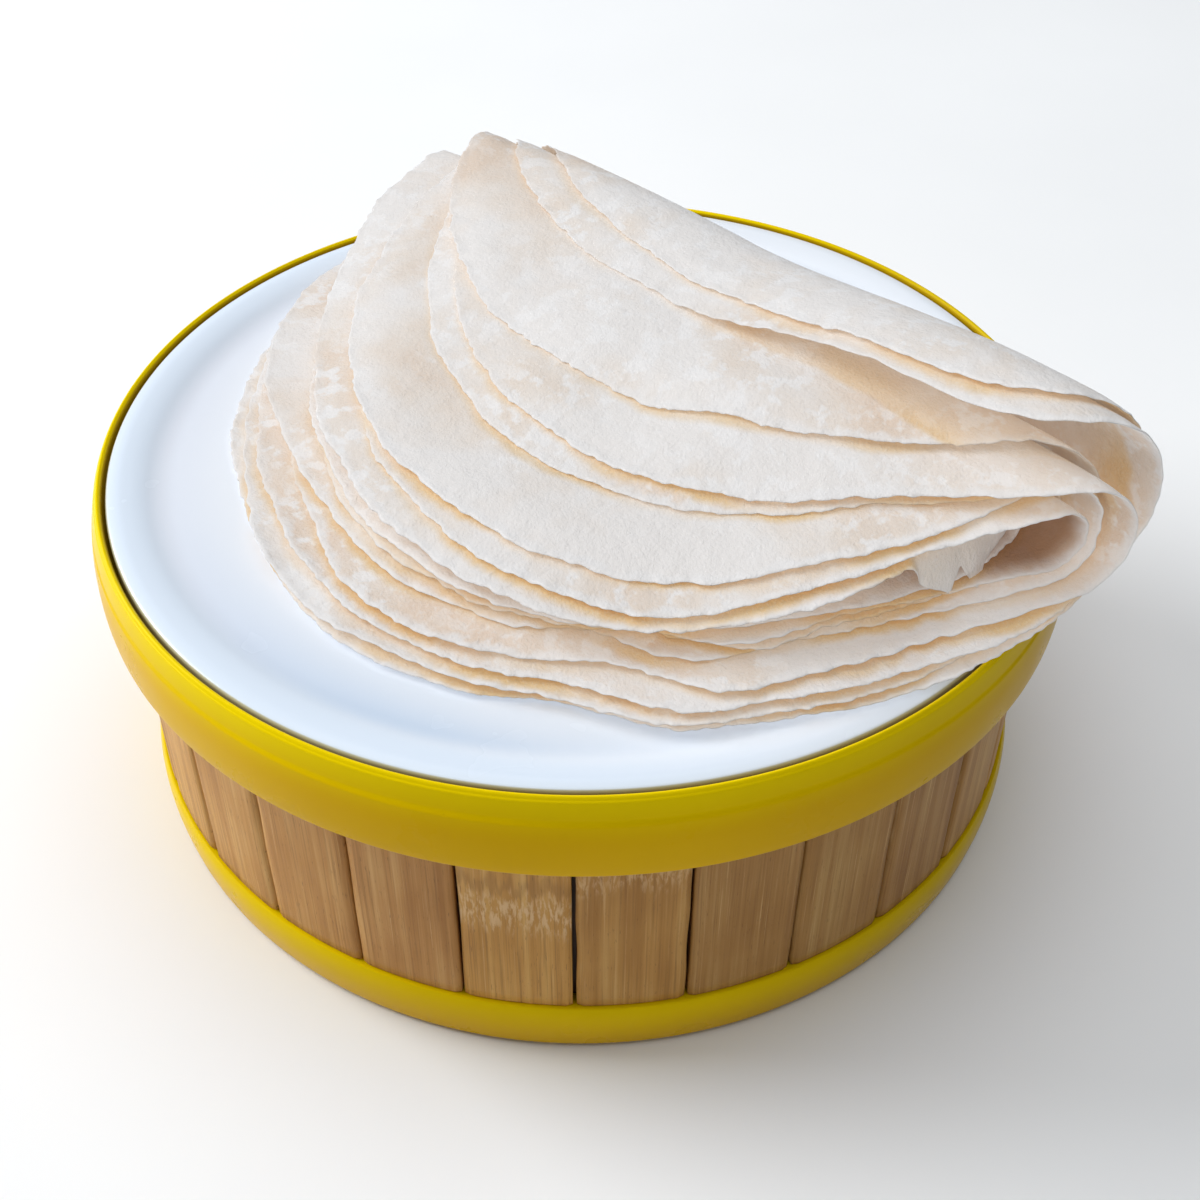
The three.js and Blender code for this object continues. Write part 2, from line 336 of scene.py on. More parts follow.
# ---------------------------------------------------------------- mesh helpers
def make_piece(name, points, faces, material, slot, nodes):
    """A smooth-shaded piece from points in millimetres, which stands for the named CAD nodes."""
    mesh = bpy.data.meshes.new(name)
    mesh.from_pydata(np.asarray(points) * MM, [], faces)
    mesh.update()
    mesh.shade_smooth()
    mesh.materials.append(material)
    piece = bpy.data.objects.new(name, mesh)
    bpy.context.scene.collection.objects.link(piece)
    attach(piece, "root")
    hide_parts(*nodes)
    return piece


def add_layer(piece, name, values):
    """A UV layer with a pair of values for each point of the mesh."""
    corner = np.empty(len(piece.data.loops), np.int32)
    piece.data.loops.foreach_get("vertex_index", corner)
    layer = piece.data.uv_layers.new(name=name)
    layer.data.foreach_set("uv", values[corner].ravel())


def rounded(corners, steps):
    """A closed profile of (radius, height, rounding) corners with each corner rounded."""
    places = []
    count = len(corners)
    for i, (x, z, size) in enumerate(corners):
        here = np.array([x, z], float)
        before = np.array(corners[i - 1][:2], float) - here
        after = np.array(corners[(i + 1) % count][:2], float) - here
        if size <= 0:
            places.append(here)
            continue
        cut_a = here + before * min(size / np.linalg.norm(before), 0.5)
        cut_b = here + after * min(size / np.linalg.norm(after), 0.5)
        for t in np.linspace(0, 1, steps):
            places.append((1 - t) ** 2 * cut_a + 2 * t * (1 - t) * here + t * t * cut_b)
    return np.array(places)


def turned(profile, segments=256, closed=True):
    """A surface of revolution about Z. An open profile starts and ends on the axis."""
    around = np.linspace(0, 2 * np.pi, segments, endpoint=False)
    points, faces = [], []
    count = len(profile)
    for angle in around:
        for radius, height in profile:
            points.append((radius * math.cos(angle), radius * math.sin(angle), height))
    for i in range(segments):
        a, b = i * count, (i + 1) % segments * count
        for j in range(count if closed else count - 1):
            k = (j + 1) % count
            faces.append((a + j, b + j, b + k, a + k))
    return points, faces


def smoothstep(t):
    t = np.clip(t, 0, 1)
    return t * t * (3 - 2 * t)


class Waves:
    """A smooth random field: a few sine waves with seeded directions and phases."""

    def __init__(self, seed, length, count=7):
        draw = np.random.default_rng(seed)
        turn = draw.uniform(0, 2 * np.pi, count)
        size = 2 * np.pi / (length * draw.uniform(0.7, 1.6, count))
        self.kx, self.ky = size * np.cos(turn), size * np.sin(turn)
        self.phase = draw.uniform(0, 2 * np.pi, count)

    def __call__(self, x, y):
        """Heights of the field at places, mostly within -1 and 1."""
        x, y = np.asarray(x, float)[..., None], np.asarray(y, float)[..., None]
        return np.sin(x * self.kx + y * self.ky + self.phase).mean(-1) * 2.2


# ---------------------------------------------------------------- materials
def from_axis(n, place, centre=(0, 0)):
    """Distance from an upright line, in the units of place."""
    return n.length(n.scaled(place, (1, 1, 0), (-centre[0], -centre[1], 0)))


def yellow_plastic(name, low, high, groove_radius=0.0):
    """Glossy yellow plastic with painted light: paler along its top, painted shade lower down, on its
    +X side and in the gap by the panel.
    """
    n = Nodes(name)
    place = n.coordinates()
    parts = n.parts(place)
    cloud = n.noise(place, 22, 3)
    # painted light: paler yellow along the top and darker yellow lower down, set by height
    painted_lit_yellow = n.ramp(cloud, [(0.3, linear(232, 200, 0)), (0.7, linear(237, 206, 0))])
    deep = n.ramp(cloud, [(0.3, linear(217, 169, 0)), (0.7, linear(222, 175, 0))])
    colour = n.mix(n.mask(parts["Z"], low * MM, high * MM), deep, painted_lit_yellow)
    # painted shade: darker on the +X side, away from the lamps
    painted_shade_right = n.times(n.mask(parts["X"], 0.02, 0.1), 0.5)
    colour = n.mix(painted_shade_right, colour, linear(160, 128, 0))
    if groove_radius:
        # painted shade: darker in the narrow gap between the panel and the crest
        painted_groove_shade = n.mask(from_axis(n, place), groove_radius + 0.0003, groove_radius)
        colour = n.mix(painted_groove_shade, colour, linear(178, 142, 8))
    roughness = n.ramp(n.noise(place, 60, 4, 0.6), greys(0.26, 0.36))
    normal = n.bump(n.noise(place, 260, 2), 0.00002, 0.3)
    return n.base(
        colour, roughness, normal, Specular_IOR_Level=0.06, Specular_Tint=(1.0, 0.85, 0.3, 1))


def white_plastic():
    """Glossy white plastic, cool in its flat middle, with painted light: paler on the left, a painted
    highlight round the flat middle, a painted reflection of the dough by the stack and painted shade
    in the gap by the crest.
    """
    n = Nodes("white_plastic")
    place = n.coordinates()
    cloud = n.noise(place, 14, 3)
    # painted light: the flat middle paler on the left, darker and bluer at the front
    left = n.ramp(cloud, [(0.3, linear(217, 220, 229)), (0.7, linear(222, 225, 232))])
    front = n.ramp(cloud, [(0.3, linear(179, 197, 218)), (0.7, linear(184, 201, 221))])
    colour = n.mix(n.mask(n.parts(place)["X"], -0.095, -0.02), left, front)
    radius = from_axis(n, place)
    # painted highlight: paler round the flat middle, on the raised rim
    painted_border_highlight = n.mask(radius, (PANEL_FLAT_RADIUS - 1) * MM, (PANEL_FLAT_RADIUS + 4.5) * MM)
    colour = n.mix(painted_border_highlight, colour, linear(216, 225, 236))
    # painted reflection of the dough: the panel paler near the stack
    painted_dough_reflection = n.mask(from_axis(n, place, STACK_MIDDLE), STACK_REACH + 0.016, STACK_REACH)
    colour = n.mix(n.times(painted_dough_reflection, 0.75), colour, linear(229, 230, 233))
    # painted shade: darker in the narrow gap between the panel and the crest
    painted_groove_shade = n.mask(radius, (PANEL_RADIUS - 0.5) * MM, (PANEL_RADIUS - 0.2) * MM)
    colour = n.mix(painted_groove_shade, colour, linear(192, 186, 150))
    roughness = n.ramp(n.noise(place, 45, 3), greys(0.25, 0.28))
    normal = n.bump(n.noise(place, 700, 2), 0.00001, 0.4)
    return n.base(
        colour, roughness, normal, Specular_IOR_Level=0.3, Coat_Weight=0.15, Coat_Roughness=0.08)


def bamboo(seed):
    """Bamboo strip: fine upright fibres and pores, soft streaks and, on some strips, a knuckle."""
    n = Nodes("bamboo_%02d" % seed)
    draw = np.random.default_rng(seed)
    warm, knuckle_height = draw.uniform(-7, 7), draw.uniform(0.005, 0.20)
    knuckle_height, knuckle = KNUCKLES.get(seed, (knuckle_height, 0.8))
    # some strips darker: painted shade along the front and the +X side
    tone = SHADED_SLATS.get(seed, 1.0)
    place = n.coordinates("slat")

    def grain(across, up, detail=3, roughness=0.5):
        """Noise drawn out along the strip, with so many waves to a metre across and up."""
        spread = n.scaled(place, (across, up, 1), (seed * 3.7, seed * 1.3, 0))
        return n.noise(spread, 1.0, detail, roughness)

    def wood(r, g, b):
        return linear((r + warm) * tone, (g + warm) * tone, b * tone)

    fibre, streak, cloud = grain(2400, 26, 3, 0.65), grain(420, 7, 3, 0.55), grain(60, 30)
    base = n.ramp(n.sum(n.times(streak, 0.6), n.times(cloud, 0.4)), [
        (0.34, wood(170, 115, 48)), (0.50, wood(194, 140, 71)), (0.66, wood(213, 165, 96)),
    ])
    colour = n.mix(n.times(n.mask(fibre, 0.50, 0.30), 0.6), base, linear(140, 94, 42))
    colour = n.mix(n.times(n.mask(fibre, 0.56, 0.74), 0.5), colour, linear(224, 186, 128))
    pores = n.mask(grain(3600, 330, 2), 0.64, 0.72)
    colour = n.mix(n.times(pores, 0.55), colour, linear(118, 76, 36))
    # the knuckle: a ragged pale band of short torn fibres under a thin dark line
    height = n.sum(n.parts(place)["Y"], n.times(grain(700, 60, 3, 0.6), 0.016))
    above = n.math("SUBTRACT", height, knuckle_height + 0.008)
    band = n.times(n.mask(above, -0.009, -0.002), n.mask(above, 0.006, 0.001))
    flecks = n.mask(grain(1300, 240, 3, 0.6), 0.44, 0.60)
    torn = n.times(n.times(band, flecks), knuckle)
    colour = n.mix(torn, colour, linear(228, 190, 140))
    dark_line = n.times(n.mask(above, 0.0035, 0.006), n.mask(above, 0.011, 0.007))
    colour = n.mix(n.times(dark_line, 0.35 * knuckle), colour, linear(120, 78, 40))
    if seed in KNOTS:
        across, up = KNOTS[seed]
        bent = n.warped(place, 300, 0.0016)
        off = n.length(n.scaled(bent, (1, 0.6, 0), (-across - seed, -up * 0.6, 0)))
        colour = n.mix(n.times(n.mask(off, 0.0026, 0.0012), 0.8), colour, linear(98, 58, 20))
    relief = n.sum(n.sum(fibre, streak), n.times(torn, -0.6))
    return n.base(colour, 0.5, n.bump(relief, 0.00014, 0.6), Specular_IOR_Level=0.25)


def dark_body():
    """The body behind the slats, which shows only in their seams."""
    n = Nodes("box_body")
    place = n.coordinates()
    colour = n.ramp(n.noise(place, 80, 3), [(0.3, linear(70, 48, 28)), (0.7, linear(96, 68, 40))])
    return n.base(colour, 0.6, n.bump(n.noise(place, 500, 2), 0.00003, 0.5))


def dough():
    """Steamed wheat dough: creamy and cloudy, pale with flour at its edges, with painted tan shade
    where sheets meet.
    """
    n = Nodes("dough")
    place = n.coordinates("unfolded")
    edges, opening = n.parts(n.coordinates("edges")), n.parts(n.coordinates("opening"))
    inside, bare_by, deep, hanging = edges["X"], edges["Y"], opening["X"], opening["Y"]

    cloud, patch = n.noise(place, 30, 3, 0.6), n.noise(place, 10, 2)
    colour = n.ramp(n.sum(n.times(cloud, 0.5), n.times(patch, 0.5)), [
        (0.39, linear(239, 221, 204)), (0.48, linear(244, 234, 224)), (0.57, linear(248, 245, 243)),
    ])
    # flour clouds of a few millimetres
    where = n.mask(n.noise(place, 19, 2, 0.6), 0.36, 0.54)
    flour = n.times(n.mask(n.noise(place, 175, 3, 0.6), 0.49, 0.61), where)
    colour = n.mix(n.times(flour, 0.85), colour, linear(253, 252, 252))
    # edges stand out less at the back, where the sheets lie closer; the painted shade where sheets
    # meet is fainter there too
    front = n.mask(n.parts(n.coordinates())["Y"], 0.03, -0.06)
    front = n.sum(n.times(front, 0.75), 0.25)
    # floury ragged rim
    ragged = n.sum(inside, n.times(n.noise(place, 170, 2, 0.6), -5.0))
    floury = n.times(n.mask(ragged, 0.3, -2.0), n.times(front, 0.85))
    colour = n.mix(floury, colour, linear(249, 248, 248))
    # painted shade: tan on a sheet just past the edge of the one lying on it, where shade falls
    uneven = n.times(n.noise(place, 45, 2), 5.0)
    painted_seam_shade = n.mask(n.math("SUBTRACT", bare_by, uneven), -0.2, -2.6)
    painted_seam_shade = n.times(painted_seam_shade, n.mask(bare_by, -14, -4))
    painted_seam_shade = n.times(painted_seam_shade, n.sum(n.mask(n.noise(place, 26, 2), 0.40, 0.60), 0.35))
    colour = n.mix(n.times(painted_seam_shade, n.times(front, 0.7)), colour, linear(239, 208, 156))
    # toasted freckles
    speck = n.voronoi(n.scaled(place, (1, 1, 1), (7, 5, 0)), 46)
    few = n.mask(n.noise(place, 5.5, 2), 0.60, 0.66)
    dot = n.times(n.mask(speck, 0.075, 0.045), few)
    colour = n.mix(n.times(dot, 0.8), colour, linear(238, 172, 90))
    # a dusting of flour, the painted shade inside the fold's opening and a painted highlight on the
    # lobes hanging in it
    fine = n.noise(place, 1500, 2, 0.7)
    colour = n.mix(n.times(n.mask(fine, 0.45, 0.75), 0.25), colour, linear(251, 250, 250))
    colour = n.mix(n.times(deep, 0.9), colour, linear(164, 124, 92))
    # painted highlight: the hanging lobes paler, as if lit
    colour = n.mix(n.times(hanging, 0.7), colour, linear(250, 248, 248))
    normal = n.bump(n.noise(place, 150, 3, 0.6), 0.001, 0.6)
    normal = n.bump(n.sum(n.noise(place, 520, 2, 0.65), fine), 0.00035, 0.6, normal)
    return n.base(colour, 0.7, normal, Specular_IOR_Level=0.3)


# ---------------------------------------------------------------- the box
def build_box():
    """The base ring, the lid's band and panel, the body and the slats."""
    low, high = BASE_RING_LIFT, BASE_RING_HEIGHT
    yellow, white = yellow_plastic("yellow_base", low, high + 6), white_plastic()
    yellow_lid = yellow_plastic(
        "yellow_lid", CREST_HEIGHT - 11, CREST_HEIGHT, (CREST_INNER_RADIUS + 0.1) * MM)
    inner = CORE_RADIUS + FIT_GAP
    radius = BASE_RING_RADIUS
    ring = rounded([
        (inner, low, 0), (radius - 1.2, low, 1.5), (radius, (low + high) / 2, 5.0),
        (radius - 0.1, high - 2.0, 2.0), (radius - 0.8, high, 0.4), (inner, high, 0),
    ], 7)
    make_piece("base_ring_round", *turned(ring), yellow, "yellow_rim", ["base_ring"])

    inner = SLAT_OUTER_RADIUS + FIT_GAP
    seat = SLAT_TOP + FIT_GAP
    low, high = BAND_BOTTOM, CREST_HEIGHT
    band = rounded([
        (inner, low, 0), (BAND_BOTTOM_RADIUS - 0.4, low, 0.8),
        (BAND_BOTTOM_RADIUS, low + 3.5, 3.0), (BAND_BOTTOM_RADIUS - 0.2, high - 9.0, 6.0),
        (BAND_TOP_RADIUS - 0.4, high - 2.2, 4.0), (CREST_INNER_RADIUS + 1.0, high + 0.1, 1.6),
        (CREST_INNER_RADIUS, high - 1.0, 0.5), (CREST_INNER_RADIUS, seat, 0), (inner, seat - 0.6, 0),
    ], 8)
    make_piece("lid_band_round", *turned(band), yellow_lid, "yellow_rim", ["lid_band"])

    flat = high - PANEL_DROP
    edge = rounded([
        (PANEL_RADIUS, seat, 0.3), (PANEL_RADIUS, high - 0.9, 0.8),
        (PANEL_RADIUS - 2.5, high - 0.35, 1.2), (PANEL_RADIUS - 6.5, high - 0.8, 2.0),
        (PANEL_FLAT_RADIUS, flat, 3.0), (60, flat, 0), (60, seat, 0),
    ], 7)
    panel = [(0.001, seat)] + [tuple(p) for p in edge[1:-2]] + [(0.001, flat)]
    make_piece("lid_panel_round", *turned(panel, closed=False), white, "lid_white", ["lid_panel"])

    core = frame["nodes"]["box_core"]
    core.data.materials.clear()
    core.data.materials.append(dark_body())
    for i in range(SLAT_COUNT):
        build_slat(i)


def build_slat(index):
    """One bamboo strip with a slightly bowed face and worn upright edges."""
    pitch = 2 * np.pi / SLAT_COUNT
    half_seam = SLAT_SEAM / 2 / SLAT_OUTER_RADIUS
    start = math.radians(SLAT_FIRST_SEAM - 90) + index * pitch + half_seam
    width = pitch - 2 * half_seam
    low, high = BASE_RING_HEIGHT + FIT_GAP, SLAT_TOP
    wave = Waves(200 + index, 25, 4)
    points, uvs = [], []
    for face in ("front", "back"):
        for z in np.linspace(low, high, SLAT_UP + 1):
            for share in np.linspace(0, 1, SLAT_ACROSS + 1):
                angle, radius = start + width * share, SLAT_OUTER_RADIUS - SLAT_THICKNESS + 0.2
                if face == "front":
                    aside = abs(2 * share - 1)
                    angle += SLAT_WANDER * wave(z, share * 40) / SLAT_OUTER_RADIUS * aside ** 3
                    worn = SLAT_WEAR * max(aside - SLAT_WEAR_FROM, 0) / (1 - SLAT_WEAR_FROM)
                    radius = SLAT_OUTER_RADIUS - worn - SLAT_BOW * wave(share * 9, z * 0.3)
                points.append((radius * math.cos(angle), radius * math.sin(angle), z))
                uvs.append((share * SLAT_WIDTH + index, (z - low) * MM))
    count, wide = len(points) // 2, SLAT_ACROSS + 1
    faces = []
    for j in range(SLAT_UP):
        for i in range(SLAT_ACROSS):
            a = j * wide + i
            faces.append((a, a + 1, a + wide + 1, a + wide))
            b = a + count
            faces.append((b, b + wide, b + wide + 1, b + 1))
    top, last = SLAT_UP * wide, SLAT_ACROSS
    rim = list(range(wide)) + [j * wide + last for j in range(1, SLAT_UP + 1)]
    rim += [top + i for i in range(last - 1, -1, -1)] + [j * wide for j in range(SLAT_UP - 1, 0, -1)]
    for i, a in enumerate(rim):
        b = rim[(i + 1) % len(rim)]
        faces.append((b, a, a + count, b + count))
    name = "slat_%02d" % (index + 1)
    piece = make_piece("bamboo_" + name, points, faces, bamboo(index + 1), "bamboo", [name])
    add_layer(piece, "slat", np.array(uvs))


# ---------------------------------------------------------------- the pancakes
def bed_height(x, y):
    """Height of what carries the stack: the flat panel, rising to cross the rim."""
    rise = smoothstep((np.hypot(x, y) - BED_START) / (BED_END - BED_START))
    return CREST_HEIGHT - PANEL_DROP + BED_RISE * rise


def fold_shape(index, along):
    """A pancake's fold at a distance along it: layers inside, flare, half-opening, tuck and radius."""
    near = smoothstep((along - NEAR_START) / NEAR_LENGTH)
    layers = PANCAKE_COUNT - index - 0.5
    flare = PANCAKES[index]["flare"] * near
    gap = OPENING_RADIUS - OPENING_CLOSE * near
    tuck = TUCK * max(index - TUCK_FROM, 0) * near
    return layers, flare, gap, tuck, gap + layers * (PITCH_BELOW + PITCH_ABOVE) / 2 + flare / 2


def ground(along, reach):
    """Where a place lies seen from above, by its distance along and away from the bowed fold."""
    u = along / FOLD_HALF
    side = reach + FOLD_BOW * u ** 2 + FOLD_TWIST * u ** 3
    x = FOLD_CENTRE[0] + along * math.cos(FOLD_HEADING) + side * math.sin(FOLD_HEADING)
    y = FOLD_CENTRE[1] + along * math.sin(FOLD_HEADING) - side * math.cos(FOLD_HEADING)
    return x, y


SWELL = Waves(11, 75)  # shared rise and fall of the whole stack
GAPS = [Waves(30 + i, 42) for i in range(2 * PANCAKE_COUNT)]  # one for each gap between sheets


def cake_point(index, along, across, outward):
    """Places in space of a pancake's unfolded places, moved outward off its middle surface."""
    layers, flare, gap, tuck, radius = fold_shape(index, along)
    turn = np.minimum(np.abs(across) / radius, np.pi / 2)
    flat = np.abs(across) - radius * np.pi / 2
    reach = tuck + np.where(flat > 0, flat, -(radius + outward) * np.cos(turn))
    free = np.maximum(reach, 0)
    x, y = ground(along, reach)
    opening = gap * np.exp(-(free / OPENING_REACH) ** 2)
    middle = bed_height(x, y) + PANCAKE_COUNT * PITCH_BELOW + opening
    spread = flare * np.exp(-(free / FLARE_REACH) ** 2)
    below = -(opening + layers * PITCH_BELOW + outward)
    above = opening + layers * PITCH_ABOVE + spread + outward
    z = middle + np.sin(turn) * np.where(across > 0, below, above)
    # the sheets don't lie quite parallel away from the fold
    lower = GAP_WAVE * sum(GAPS[i](x, y) for i in range(index + 1))
    upper = GAP_WAVE * sum(GAPS[i](x, y) for i in range(2 * PANCAKE_COUNT - index))
    stray = np.where(across > 0, lower, upper) * LOOSE_SHARE
    swell = SWELL_HEIGHT * (SWELL(x, y) + 1) * (across < 0)
    z = z + smoothstep(free / LOOSE_OVER) * (stray + swell)
    return np.stack([x, y, z], -1)


def edge_radius(index, angle, rough=True):
    """From a pancake's centre to its edge, ragged or smooth."""
    cake = PANCAKES[index]
    degrees = np.degrees(angle)

    def bump(size, centre, width):
        away = (degrees - centre + 180) % 360 - 180
        return size * np.exp(-(away / width) ** 2)

    radius = PANCAKE_RADIUS + cake["grow"]
    radius = radius + cake["oval"][0] * np.cos(2 * angle) + cake["oval"][1] * np.sin(2 * angle)
    radius = radius + cake["three"][0] * np.cos(3 * angle) + cake["three"][1] * np.sin(3 * angle)
    radius = radius + bump(*cake["shoulder"], SHOULDER_WIDTH) + bump(*cake["front"], FRONT_WIDTH)
    radius = radius + bump(cake["end"], END_CENTRE, END_WIDTH)
    radius = radius + bump(cake["point"], POINT_CENTRE, POINT_WIDTH)
    radius = radius - bump(cake["point"] * NOTCH_SHARE, NOTCH_CENTRE, POINT_WIDTH)
    if rough:
        x, y = EDGE_WAVE_RADIUS * np.cos(angle), EDGE_WAVE_RADIUS * np.sin(angle)
        radius = radius + RAGGED * Waves(60 + index, 24)(x, y)
        radius = radius + NICKS * Waves(80 + index, 6)(x, y) + CRUMBS * Waves(90 + index, 2.4)(x, y)
    return radius


def lobe_length(index, angle):
    """How far the innermost pancake's hanging lobes reach past its round edge."""
    degrees = np.degrees(np.arctan2(np.sin(angle), np.cos(angle)))
    if index != PANCAKE_COUNT - 1:
        return np.zeros_like(degrees)
    places, lengths = [LOBES[0][0]], [0]
    for start, tip, end, length, rest in LOBES:
        places.extend([tip, end])
        lengths.extend([length, rest])
    return np.interp(degrees, places + [LOBES_END], lengths + [0], 0, 0)


def spare_edge(index, along, across):
    """How far inside its own edge a pancake's unfolded place is."""
    cake = PANCAKES[index]
    a, b = along - cake["along"], across - cake["below"]
    return edge_radius(index, np.arctan2(b, a)) - np.hypot(a, b)


def bare(index, other, along, across):
    """How far a place on one pancake is past the edge of the pancake lying on it."""
    if not 0 <= other < PANCAKE_COUNT:
        return np.full(np.shape(along), BARE_RANGE[1])
    tuck, radius = fold_shape(index, along)[3:]
    other_tuck, other_radius = fold_shape(other, along)[3:]
    turn = np.minimum(np.abs(across) / radius, np.pi / 2)
    flat = np.abs(across) - radius * np.pi / 2
    flat_there = np.maximum(flat + tuck - other_tuck, 0)
    same = np.where(flat > 0, other_radius * np.pi / 2 + flat_there, other_radius * turn)
    return np.clip(-spare_edge(other, along, np.sign(across) * same), *BARE_RANGE)


def unfolded_places(index, shares, ring_sizes):
    """Places of a pancake's rings, from its centre out to the tips of its lobes.

    Returns, for each place, where it is along and across the fold, how deep inside its edge,
    how far it drops, how much it hangs, and where it would be on a flat sheet.
    """
    cake = PANCAKES[index]
    centre = (cake["along"], cake["below"])
    rows = [np.array([[*centre, 99.0, 0.0, 0.0, *centre]])]
    for share, size in zip(shares, ring_sizes):
        angle = np.linspace(0, 2 * np.pi, size, endpoint=False)
        cosine, sine = np.cos(angle), np.sin(angle)
        radius = edge_radius(index, angle)
        reach = radius + lobe_length(index, angle)
        away = share * reach
        lobe = smoothstep((reach - radius) / LOBE_GROWS_OVER)
        hang = lobe * np.maximum(away - edge_radius(index, angle, False) + LOBE_BEND, 0)
        bend = np.minimum(hang / LOBE_BEND, LOBE_TURN)
        straight = hang - bend * LOBE_BEND
        kept = away - hang + LOBE_BEND * np.sin(bend) + straight * math.cos(LOBE_TURN)
        drop = LOBE_BEND * (1 - np.cos(bend)) + straight * math.sin(LOBE_TURN)
        rows.append(np.stack([
            centre[0] + kept * cosine, centre[1] + kept * sine, (1 - share) * reach, drop,
            lobe * smoothstep(hang / LOBE_BEND), centre[0] + away * cosine, centre[1] + away * sine,
        ], -1))
    return np.concatenate(rows).T


def sheet_faces(ring_sizes, total):
    """Faces of a closed sheet with so many points on a side: its two sides and its rim."""
    starts = np.concatenate([[1], 1 + np.cumsum(ring_sizes)])
    count = ring_sizes[0]
    faces = [(0, 1 + i, 1 + (i + 1) % count) for i in range(count)]
    for ring in range(len(ring_sizes) - 1):
        a, b, m, k = starts[ring], starts[ring + 1], ring_sizes[ring], ring_sizes[ring + 1]
        for i in range(m):
            j = (i + 1) % m
            if m == k:
                faces.append((a + i, b + i, b + j, a + j))
            else:
                p, q, r = b + 2 * i, b + 2 * i + 1, b + (2 * i + 2) % k
                faces.extend([(a + i, p, q), (a + i, q, a + j), (a + j, q, r)])
    under = [tuple(v + total for v in reversed(face)) for face in faces]
    last, edge_size = starts[len(ring_sizes) - 1], ring_sizes[-1]
    rim = []
    for i in range(edge_size):
        a, b = last + i, last + (i + 1) % edge_size
        rim.append((a, a + total, b + total, b))
    return [tuple(int(v) for v in face) for face in faces + under + rim]


def build_pancake(index, material):
    """A closed thin sheet from rings round the pancake's centre, finer near its edge."""
    inner = np.linspace(0, 0.92, 42)[1:]
    outer = np.array([0.935, 0.95, 0.963, 0.974, 0.984, 0.991, 0.996, 1.0])
    if index == PANCAKE_COUNT - 1:
        inner = np.linspace(0, 0.80, 34)[1:]
        outer = np.append(np.linspace(0.808, 0.99, 26), [0.995, 1.0])
    ring_sizes = [RING_POINTS] * len(inner) + [2 * RING_POINTS] * 2
    ring_sizes += [4 * RING_POINTS] * (len(outer) - 2)
    places = unfolded_places(index, np.concatenate([inner, outer]), ring_sizes)
    along, across, depth, drop, hanging, flat_along, flat_across = places
    middle = cake_point(index, along, across, np.zeros_like(along))
    front = smoothstep((BACK_EDGE - middle[:, 1]) / BACK_TO_FRONT)

    edge = EDGE_THICKNESS * (BACK_EDGE_SHARE + (1 - BACK_EDGE_SHARE) * front)
    half = edge / 2 + (THICKNESS - edge) / 2 * smoothstep(depth / THINS_OVER)
    half = half * np.sqrt(np.clip(1 - (1 - np.clip(depth / ROUNDS_OVER, 0, 1)) ** 2, 0.02, 1))
    outer_bare = bare(index, index - 1, along, across)
    inner_bare = bare(index, index + 1, along, across)
    clear = smoothstep(np.where(across < 0, outer_bare, inner_bare) / CLEAR_OVER)
    curl = Waves(300 + index, 30)(along, across) * 0.5 + 0.55
    lift = EDGE_LIFT * np.clip(curl, 0, 1.2) * np.where(across < 0, LIFT_ABOVE, 1.0)
    lift = lift * clear * smoothstep(1 - depth / LIFTS_OVER) ** 1.5
    lift = lift * (LIFT_AT_BACK + (1 - LIFT_AT_BACK) * front)
    settle = np.where(across < 0, SETTLE_ABOVE, SETTLE_BELOW) * smoothstep(1 - depth / SETTLES_OVER)
    off_fold = np.abs(across) - fold_shape(index, along)[4] * np.pi / 2
    lift = (lift - settle) * smoothstep(off_fold / FOLD_CALM)
    fray = FRAY * Waves(400 + index, 5)(along, across) * smoothstep(1 - depth / FRAYS_OVER)
    sides = [cake_point(index, along, across, half), cake_point(index, along, across, -half)]
    for side in sides:
        side[:, 2] += lift - drop + fray

    total = len(along)
    name = "pancake_%d" % (index + 1)
    faces = sheet_faces(ring_sizes, total)
    piece = make_piece("thin_" + name, np.concatenate(sides), faces, material, "dough", [name])
    # for the shading: the place on the flat sheet in metres, with each side's pattern its own
    flat = np.stack([flat_along, flat_across], -1) * MM + index * SHEET_SHIFT
    add_layer(piece, "unfolded", np.concatenate([flat, flat + SIDE_SHIFT]))
    # millimetres inside the pancake's own edge, and past the edge of the one on it
    beside = np.concatenate([outer_bare, inner_bare])
    add_layer(piece, "edges", np.stack([np.tile(depth, 2), beside], -1))
    # and how deep inside the fold's opening a place is, and how much it hangs into it
    opens = np.repeat([0.0, 1.0 if index >= PANCAKE_COUNT - 2 else 0.0], total)
    deep = smoothstep(1 - off_fold / SHADE_OVER) * smoothstep((depth + 1) / SHADE_DEPTH)
    opening = np.stack([opens * np.tile(deep * (1 - hanging), 2), np.tile(hanging, 2)], -1)
    add_layer(piece, "opening", opening)


